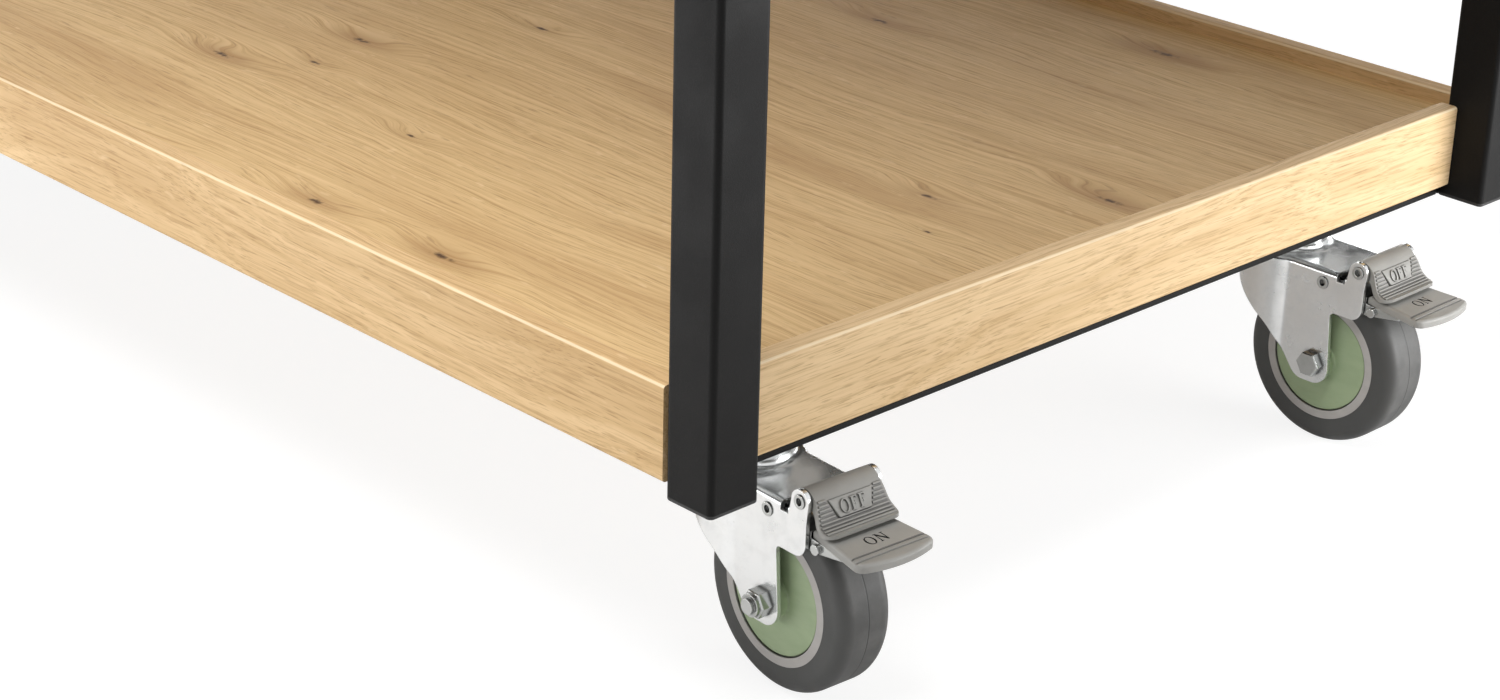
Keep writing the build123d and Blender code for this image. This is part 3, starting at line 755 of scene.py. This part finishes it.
@dataclass(frozen=True)
class Finishes:
    """The finishes that the cart's pieces share."""

    coat: bpy.types.Material
    caps: bpy.types.Material
    sheet: bpy.types.Material
    hardware: bpy.types.Material
    green: bpy.types.Material
    pale: bpy.types.Material
    grey: bpy.types.Material
    inked: bpy.types.Material

    @classmethod
    def make(cls) -> "Finishes":
        """Makes them all.

        Returns:
            The set of finishes.
        """
        return cls(
            coat=PowderCoat().make(),
            caps=Plastic(
                "black_cap_plastic", (0.020, 0.020, 0.020), (0.014, 0.014, 0.014), rough=(0.45, 0.6)
            ).make(),
            sheet=Zinc("zinc_sheet").make(),
            hardware=Zinc(
                "zinc_hardware", (0.50, 0.51, 0.50), (0.30, 0.31, 0.30),
                rough=(0.12, 0.22), run=(1.0, 1.0, 1.0),
            ).make(),
            green=Plastic(
                "green_guard_plastic", (0.36, 0.45, 0.27), (0.32, 0.41, 0.24), rough=(0.30, 0.42), skin=0.12
            ).make(),
            pale=Plastic(
                "pale_core_plastic", (0.47, 0.45, 0.43), (0.43, 0.41, 0.39), rough=(0.38, 0.5), skin=0.15
            ).make(),
            grey=Plastic("grey_pedal_plastic", (0.31, 0.305, 0.287), (0.28, 0.275, 0.258)).make(),
            # painted shade: a near-black plastic for the walls and floor of the pedal's sunk word
            inked=Plastic("inked_recess_plastic", (0.036, 0.035, 0.033), (0.028, 0.027, 0.025)).make(),
        )


@dataclass
class Tray:
    """One oak tray: a deck inside four rims. Knots are x, y and size in metres."""

    level: str
    shift: float
    deck_knots: Tuple[Point3, ...] = ()
    # painted shade: the deck's colours are a deeper, more saturated copy of the oak, as under the upper tray
    shaded_deck_pale: Colour = (0.70, 0.500, 0.258)
    shaded_deck_dark: Colour = (0.53, 0.350, 0.156)
    long_brown: Colour = (0.50, 0.315, 0.140)
    end_pale: Colour = (0.76, 0.560, 0.325)
    end_dark: Colour = (0.64, 0.445, 0.230)
    end_brown: Colour = (0.56, 0.375, 0.185)

    def build(self) -> None:
        """Dresses the deck and the rims, each with a cut of its own from the board."""
        deck = Oak(
            f"{self.level}_deck_oak", shift=(self.shift, 0.0, 0.0), knots=self.deck_knots,
            pale=self.shaded_deck_pale, dark=self.shaded_deck_dark,
        )
        dress(f"{self.level}_deck", deck.make())
        for index, side in enumerate(("front", "back")):
            offset = (self.shift + 0.7 + index, 0.31 * index, 0.0)
            rim = Oak(f"{self.level}_{side}_oak", shift=offset, brown=self.long_brown)
            dress(f"{self.level}_{side}_rim", rim.make())
        for index, side in enumerate(("left", "right")):
            offset = (self.shift + 2.9 + index, 0.23 * index, 0.0)
            rim = Oak(
                f"{self.level}_{side}_oak", Grain.ACROSS, offset,
                pale=self.end_pale, dark=self.end_dark, brown=self.end_brown,
            )
            dress(f"{self.level}_{side}_rim", rim.make())


@dataclass
class Carcass:
    """The tube frame with its plugs, bars, screws and caster plates."""

    finishes: Finishes
    coated: Tuple[str, ...] = (
        "front_left_post", "front_right_post", "back_left_post", "back_right_post", "lower_long_rails",
        "caster_channels", "upper_frame_rails", "left_push_bar", "right_push_bar",
    )
    fixings: Tuple[str, ...] = ("tray_screws", "caster_bolts", "swivel_bearings")

    def build(self) -> None:
        """Dresses the frame's pieces."""
        for node in self.coated:
            dress(node, self.finishes.coat)
        dress("post_plugs", self.finishes.caps)
        for node in self.fixings:
            dress(node, self.finishes.hardware)
        dress("caster_top_plates", self.finishes.sheet)


@dataclass
class Caster:
    """One caster: its dressed pieces, the ribbed release lever and the lettered pedal, in millimetres."""

    station: Station
    finishes: Finishes
    lever_points: Tuple[Point2, ...] = (
        (62.0, 118.0), (67.8, 115.8), (71.4, 111.2), (73.9, 106.2), (76.6, 102.8), (80.2, 101.5),
        (84.3, 102.2),
    )
    lever_samples: int = 400
    lever_probe: float = 0.2
    skin_reach: float = 3.0
    rib_first: float = 9.6
    rib_pitch: float = 2.05
    rib_count: int = 9
    rib_width: float = 1.25
    rib_height: float = 0.75
    rib_sink: float = 0.35
    rib_margin: float = 1.2
    rib_steps: int = 8
    rib_fullness: float = 0.7
    lever_half: float = 20.1
    flare_half: float = 22.8
    flare_start: float = 69.5
    flare_end: float = 76.5
    panel_top: float = 10.0
    panel_bottom: float = 19.2
    panel_half_top: float = 13.4
    panel_half_bottom: float = 9.8
    panel_rise_top: float = 0.65
    panel_rise_bottom: float = 1.40
    panel_gap: float = 1.2
    panel_foot: float = 0.4
    panel_bevel: float = 0.3
    panel_rows: int = 12
    pedal_origin: Point2 = (68.0, 99.0)
    pedal_slope: float = 3.5
    pedal_crease: float = 25.0
    off_tall: float = 6.5
    off_foot: float = 17.9
    off_gap: float = 0.05
    off_root: float = 0.15
    raised: float = 0.72
    on_tall: float = 6.9
    on_foot: float = 25.8
    on_gap: float = 0.08
    on_over: float = 0.5
    sunk: float = 0.9
    axle_height: float = 50.0
    trail: float = 38.0
    profile: Optional[np.ndarray] = field(default=None, init=False)
    skin: Optional[BVHTree] = field(default=None, init=False)

    def named(self, piece: str) -> str:
        """Gives a piece's name at this corner."""
        return f"{self.station.corner}_{piece}"

    def build(self) -> None:
        """Dresses the caster's nodes and builds its details."""
        self.dress_nodes()
        self.read_lever()
        self.build_ribs()
        self.build_panel()
        self.build_off()
        self.build_pedal()

    def dress_nodes(self) -> None:
        """Gives each node of the caster its finish."""
        looks = self.finishes
        tyre = Rubber(
            self.named("tyre_rubber"),
            tuple(self.station.place((self.trail, 0.0, self.axle_height))),
            tuple(self.station.turn((0.0, 1.0, 0.0))),
        )
        dress(self.named("tyre"), tyre.make())
        for piece, material in (
            ("fork", looks.sheet), ("axle_set", looks.hardware), ("brake_pins", looks.hardware),
            ("thread_guards", looks.green), ("wheel_core", looks.pale), ("brake_pedal", looks.grey),
            ("brake_shoe", looks.hardware), ("release_lever", looks.grey),
        ):
            dress(self.named(piece), material)

    def read_lever(self) -> None:
        """Samples the lever's outer curve by its length, and keeps the lever's skin to set pieces on."""
        points = np.array(self.lever_points)
        lengths = np.concatenate(([0.0], np.cumsum(np.linalg.norm(np.diff(points, axis=0), axis=1))))
        fine = np.linspace(0.0, lengths[-1], self.lever_samples)
        order = len(points) - 1
        curve = [np.polyval(np.polyfit(lengths, points[:, axis], order), fine) for axis in (0, 1)]
        self.profile = np.stack(curve + [fine], 1)
        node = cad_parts[self.named("release_lever")]
        self.skin = BVHTree.FromPolygons(
            [vertex.co.copy() for vertex in node.data.vertices],
            [tuple(polygon.vertices) for polygon in node.data.polygons],
        )

    def lever_at(self, along: float) -> Point2:
        """Reads the lever's outer curve at a length down it."""
        x, z, lengths = self.profile.T
        return float(np.interp(along, lengths, x)), float(np.interp(along, lengths, z))

    def on_lever(self, y: float, along: float, rise: float) -> Vector:
        """Finds a point over the lever's outer face.

        Args:
            y: across the lever.
            along: down the lever's curve from its top.
            rise: over the face.

        Returns:
            The point in metres in the cart's frame.
        """
        x, z = self.lever_at(along)
        ahead = self.lever_at(along + self.lever_probe)
        back = self.lever_at(along - self.lever_probe)
        run = Vector((ahead[0] - back[0], 0.0, ahead[1] - back[1])).normalized()
        out = Vector((-run.z, 0.0, run.x))
        start = self.station.place(Vector((x, 0.0, z)) + self.skin_reach * out)
        found = self.skin.ray_cast(start, -self.station.turn(out), 2.0 * self.skin_reach * MM)
        base = found[0] if found[0] is not None else self.station.place((x, 0.0, z))
        return base + self.station.turn((0.0, y, 0.0)) * MM + self.station.turn(out) * (rise * MM)

    def half_width(self, along: float) -> float:
        """Gives half the lever's width at a point down its curve."""
        x = self.lever_at(along)[0]
        return float(np.interp(x, (self.flare_start, self.flare_end), (self.lever_half, self.flare_half)))

    def down_panel(self, along: float, top: float, bottom: float) -> float:
        """Blends a size of the plain panel from its top to its bottom."""
        return float(np.interp(along, (self.panel_top, self.panel_bottom), (top, bottom)))

    def panel_half(self, along: float) -> float:
        """Gives half the plain panel's width at a point down the lever's curve."""
        return self.down_panel(along, self.panel_half_top, self.panel_half_bottom)

    def panel_rise(self, along: float) -> float:
        """Gives how far the plain panel stands over the lever at a point down its curve."""
        return self.down_panel(along, self.panel_rise_top, self.panel_rise_bottom)

    def add_rib(self, shape: bmesh.types.BMesh, along: float, first: float, last: float) -> None:
        """Adds one rounded rib across the lever.

        Args:
            shape: the mesh to add to.
            along: where it lies down the lever's curve.
            first: where it begins across the lever.
            last: where it ends.
        """
        half = 0.5 * self.rib_width
        section = [(-half, -self.rib_sink)]
        for step in range(self.rib_steps + 1):
            turn = math.pi * (1.0 - step / self.rib_steps)
            section.append((half * math.cos(turn), self.rib_height * math.sin(turn) ** self.rib_fullness))
        section.append((half, -self.rib_sink))
        rings = [[shape.verts.new(self.on_lever(y, along + s, h)) for s, h in section] for y in (first, last)]
        join_rings(shape, *rings)
        shape.faces.new(rings[0])
        shape.faces.new(list(reversed(rings[1])))

    def build_ribs(self) -> None:
        """Builds the lever's ribs, which stop on both sides of the plain panel."""
        shape = bmesh.new()
        for index in range(self.rib_count):
            along = self.rib_first + index * self.rib_pitch
            end = self.half_width(along) - self.rib_margin
            if along < self.panel_bottom + self.panel_foot:
                inner = self.panel_half(along) + self.panel_gap
                self.add_rib(shape, along, -end, -inner)
                self.add_rib(shape, along, inner, end)
            else:
                self.add_rib(shape, along, -end, end)
        add_piece(self.named("lever_ribs"), shape, self.named("release"), self.finishes.grey)

    def build_panel(self) -> None:
        """Builds the plain panel that carries the lever's word: wide at its top, with bevelled edges."""
        shape = bmesh.new()
        bevel = self.panel_bevel
        rows: List[List[bmesh.types.BMVert]] = []
        for along in np.linspace(self.panel_top, self.panel_bottom, self.panel_rows).tolist():
            half, rise = self.panel_half(along), self.panel_rise(along)
            line = [(-half, -self.rib_sink), (-half, rise - bevel), (-half + bevel, rise)]
            line += [(half - bevel, rise), (half, rise - bevel), (half, -self.rib_sink)]
            rows.append([shape.verts.new(self.on_lever(y, along, h)) for y, h in line])
        for upper, lower in zip(rows, rows[1:]):
            join_rings(shape, upper, lower)
        shape.faces.new(rows[0])
        shape.faces.new(list(reversed(rows[-1])))
        add_piece(self.named("lever_panel"), shape, self.named("release"), self.finishes.grey)

    def word(self, text: str, height: float, gap: float) -> List[Tuple[Letter, float]]:
        """Sets a word in a line round its middle.

        Args:
            text: the word.
            height: the letters' height.
            gap: the space between two letters as a share of their height.

        Returns:
            Each letter and where it begins.
        """
        widths = [LETTERS[c].width * height for c in text]
        total = sum(widths) + gap * height * (len(text) - 1)
        start = -0.5 * total
        line = []
        for c, width in zip(text, widths):
            line.append((LETTERS[c], start))
            start += width + gap * height
        return line

    def build_off(self) -> None:
        """Builds the raised word on the lever's panel."""
        shape = bmesh.new()
        tall = self.off_tall
        for letter, start in self.word("OFF", tall, self.off_gap):
            def place(u: float, v: float, level: float, start: float = start) -> Vector:
                """Maps a letter's point to the panel's face."""
                along = self.off_foot - v * tall
                return self.on_lever(start + u * tall, along, self.panel_rise(along) + level)

            letter.add(shape, place, -self.off_root, self.raised)
        add_piece(self.named("lever_word"), shape, self.named("release"), self.finishes.grey)

    def on_pedal(self, y: float, along: float, rise: float) -> Vector:
        """Finds a point over the pedal's face.

        Args:
            y: across the pedal.
            along: from the pedal's inner end to its lip.
            rise: over the face.

        Returns:
            The point in metres in the cart's frame.
        """
        slope = math.radians(self.pedal_slope)
        x = self.pedal_origin[0] + along * math.cos(slope) + rise * math.sin(slope)
        z = self.pedal_origin[1] - along * math.sin(slope) + rise * math.cos(slope)
        return self.station.place((x, y, z))

    def word_cutter(self) -> bpy.types.Object:
        """Makes the block letters that cut the word into the pedal.

        Returns:
            The cutter, which is removed after the cut.
        """
        shape = bmesh.new()
        tall = self.on_tall
        for letter, start in self.word("ON", tall, self.on_gap):
            def place(u: float, v: float, level: float, start: float = start) -> Vector:
                """Maps a letter's point to the pedal's face."""
                return self.on_pedal(start + u * tall, self.on_foot - v * tall, level)

            letter.add(shape, place, -self.sunk, self.on_over)
        bmesh.ops.recalc_face_normals(shape, faces=shape.faces)
        return add_object("word_cutter", shape, self.finishes.inked)

    def build_pedal(self) -> None:
        """Builds the pedal with its word sunk in the face, in the place of the plain one."""
        cutter = self.word_cutter()
        node = self.named("brake_pedal")
        plain = bmesh.new()
        plain.from_mesh(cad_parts[node].data)
        bmesh.ops.remove_doubles(plain, verts=plain.verts, dist=WELD)
        piece = add_piece(self.named("pedal"), plain, self.named("brake"), self.finishes.grey)
        cut = piece.modifiers.new("word", "BOOLEAN")
        cut.operation = "DIFFERENCE"
        cut.solver = "EXACT"
        # the sunk word's walls and floor take the cutter's near-black plastic: painted shade in the engraving
        cut.material_mode = "TRANSFER"
        cut.object = cutter
        apply_modifiers(piece)
        finish_mesh(piece.data, self.pedal_crease)
        level_faces(piece)
        bpy.data.objects.remove(cutter)
        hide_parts(node)


@dataclass(frozen=True)
class Softbox:
    """A soft rectangular lamp: its place, aim and size in metres, and its power in watts."""

    name: str
    place: Point3
    aim: Point3
    size: Point2
    power: float

    def hang(self) -> None:
        """Hangs the lamp, out of the camera's sight."""
        data = bpy.data.lights.new(self.name, "AREA")
        data.shape = "RECTANGLE"
        data.size, data.size_y = self.size
        data.energy = self.power
        lamp = bpy.data.objects.new(self.name, data)
        lamp.location = self.place
        lamp.rotation_euler = (Vector(self.aim) - Vector(self.place)).to_track_quat("-Z", "Y").to_euler()
        lamp.visible_camera = False
        bpy.context.scene.collection.objects.link(lamp)
        LOG.info("hung %s", self.name)


SOFTBOXES = (
    Softbox("top_softbox", (0.45, -0.95, 2.05), (0.8, -0.2, 0.20), (1.2, 1.1), 46.0),
    Softbox("front_softbox", (-0.15, -0.85, 0.06), (0.15, -0.3, 0.12), (1.2, 0.10), 2.4),
    Softbox("side_softbox", (1.05, 0.52, 0.20), (0.46, 0.20, 0.09), (0.6, 0.26), 6.5),
    Softbox("back_softbox", (-0.30, 1.25, 0.20), (-0.1, 0.3, 0.22), (1.2, 0.2), 4.0),
    Softbox("left_softbox", (-1.40, 0.05, 0.20), (-0.5, 0.05, 0.22), (0.8, 0.2), 4.0),
)


@dataclass
class Studio:
    """The white studio: floor, soft lamps, world and the camera at the photograph's angle."""

    lens: float = 71.16
    sensor: float = 36.0
    near: float = 0.05
    heading: float = -45.64
    pitch: float = 23.58
    roll: float = 1.5
    eye: Point3 = (1.31828, -1.11798, 0.72344)
    world_level: float = 0.16
    world_white: float = 1.0
    floor_half: float = 14.0
    floor_cells: int = 8
    floor_bounce: float = 0.80
    floor_in_metal: Point2 = (0.74, 0.22)
    floor_in_view: Point2 = (0.26, 0.86)

    def build(self) -> None:
        """Sets up the whole studio."""
        self.build_floor()
        self.build_world()
        for softbox in SOFTBOXES:
            softbox.hang()
        self.build_camera()
        bpy.context.scene.view_settings.view_transform = "Standard"

    @staticmethod
    def choose(tree: bpy.types.NodeTree, share: Socket, plain: Socket, chosen: Socket) -> Socket:
        """Adds a switch between two shaders.

        Args:
            tree: the node tree to add to.
            share: 1 for the rays that see the chosen shader.
            plain: the shader that the other rays see.
            chosen: the chosen shader.

        Returns:
            The switch's output.
        """
        node = tree.nodes.new("ShaderNodeMixShader")
        for socket, source in zip(node.inputs, (share, plain, chosen)):
            tree.links.new(source, socket)
        return node.outputs[0]

    def by_ray(self, tree: bpy.types.NodeTree, plain: Socket, in_metal: Socket, in_view: Socket) -> Socket:
        """Shows a shader of its own to the camera, and to the rays that metal and clear pieces send.

        Args:
            tree: the node tree to add to.
            plain: the shader that lights the cart.
            in_metal: the shader for glossy and transmission rays.
            in_view: the shader for the camera's rays.

        Returns:
            The combined shader's output.
        """
        path = tree.nodes.new("ShaderNodeLightPath")
        mirrored = tree.nodes.new("ShaderNodeMath")
        mirrored.operation = "MAXIMUM"
        for socket, name in zip(mirrored.inputs, ("Is Glossy Ray", "Is Transmission Ray")):
            tree.links.new(path.outputs[name], socket)
        inside = self.choose(tree, mirrored.outputs[0], plain, in_metal)
        return self.choose(tree, path.outputs["Is Camera Ray"], inside, in_view)

    @staticmethod
    def matt(tree: bpy.types.NodeTree, colour: float) -> Socket:
        """Adds a matt white surface that sends back this share of the light."""
        node = tree.nodes.new("ShaderNodeBsdfDiffuse")
        node.inputs["Color"].default_value = (colour, colour, colour, 1.0)
        return node.outputs[0]

    def glowing(self, tree: bpy.types.NodeTree, colour: float, glow: float) -> Socket:
        """Adds a matt white surface that also glows.

        Args:
            tree: the node tree to add to.
            colour: how much light it sends back.
            glow: how bright it is by itself.

        Returns:
            The surface's output.
        """
        lamp = tree.nodes.new("ShaderNodeEmission")
        lamp.inputs["Strength"].default_value = glow
        both = tree.nodes.new("ShaderNodeAddShader")
        tree.links.new(self.matt(tree, colour), both.inputs[0])
        tree.links.new(lamp.outputs[0], both.inputs[1])
        return both.outputs[0]

    def build_floor(self) -> None:
        """Builds a wide white floor: it shows a faint shadow itself, and the whole shadow in the metal."""
        material = bpy.data.materials.new("studio_floor")
        material.use_nodes = True
        tree = material.node_tree
        tree.nodes.clear()
        output = tree.nodes.new("ShaderNodeOutputMaterial")
        shown = self.by_ray(
            tree, self.matt(tree, self.floor_bounce), self.glowing(tree, *self.floor_in_metal),
            self.glowing(tree, *self.floor_in_view),
        )
        tree.links.new(shown, output.inputs["Surface"])
        shape = bmesh.new()
        cells = self.floor_cells
        bmesh.ops.create_grid(shape, x_segments=cells, y_segments=cells, size=self.floor_half)
        floor = add_object("studio_floor", shape, material)
        LOG.info("built studio_floor")

    def build_world(self) -> None:
        """Fills the studio with soft white light, and shows pure white behind the object and in the metal."""
        world = bpy.data.worlds.new("studio")
        bpy.context.scene.world = world
        world.use_nodes = True
        tree = world.node_tree
        tree.nodes.clear()
        output = tree.nodes.new("ShaderNodeOutputWorld")
        levels = []
        for strength in (self.world_level, self.world_white):
            node = tree.nodes.new("ShaderNodeBackground")
            node.inputs["Color"].default_value = (1.0, 1.0, 1.0, 1.0)
            node.inputs["Strength"].default_value = strength
            levels.append(node.outputs[0])
        soft, white = levels
        tree.links.new(self.by_ray(tree, soft, white, white), output.inputs["Surface"])

    def build_camera(self) -> None:
        """Stands the camera where the photograph was taken from."""
        data = bpy.data.cameras.new("camera")
        data.sensor_fit = "HORIZONTAL"
        data.sensor_width = self.sensor
        data.lens = self.lens
        data.clip_start = self.near
        a, e, roll = (math.radians(angle) for angle in (self.heading, self.pitch, self.roll))
        ahead = Vector((math.cos(e) * math.sin(a), math.cos(e) * math.cos(a), -math.sin(e)))
        level = Vector((math.cos(a), -math.sin(a), 0.0))
        upright = level.cross(ahead)
        right = math.cos(roll) * level + math.sin(roll) * upright
        up = -math.sin(roll) * level + math.cos(roll) * upright
        turn = Matrix((right, up, -ahead)).transposed()
        camera = bpy.data.objects.new("camera", data)
        camera.matrix_world = Matrix.Translation(self.eye) @ turn.to_4x4()
        bpy.context.scene.collection.objects.link(camera)
        bpy.context.scene.camera = camera


LOWER_KNOTS = (
    (-0.062, -0.101, 0.0045), (-0.092, -0.180, 0.0045), (-0.045, -0.147, 0.0028), (0.093, -0.183, 0.0028),
    (0.140, -0.282, 0.0042), (0.243, -0.280, 0.0045), (-0.010, -0.003, 0.0032), (0.110, 0.169, 0.0042),
    (0.266, 0.254, 0.0055), (0.407, 0.034, 0.0048), (0.340, -0.034, 0.0036), (0.376, -0.072, 0.0020),
)
UPPER_KNOTS = ((-0.22, 0.11, 0.0045), (0.05, -0.17, 0.0040), (0.30, 0.06, 0.0035))
LOWER_SHIFT = 0.0
UPPER_SHIFT = 5.3


def main() -> None:
    """Builds and dresses the whole cart, then the studio."""
    logging.basicConfig(level=logging.INFO, format="%(name)s: %(message)s")
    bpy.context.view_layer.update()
    finishes = Finishes.make()
    Tray("lower", LOWER_SHIFT, LOWER_KNOTS).build()
    Tray("upper", UPPER_SHIFT, UPPER_KNOTS).build()
    Carcass(finishes).build()
    for station in STATIONS:
        Caster(station, finishes).build()
    Studio().build()


if __name__ == "__main__":
    main()
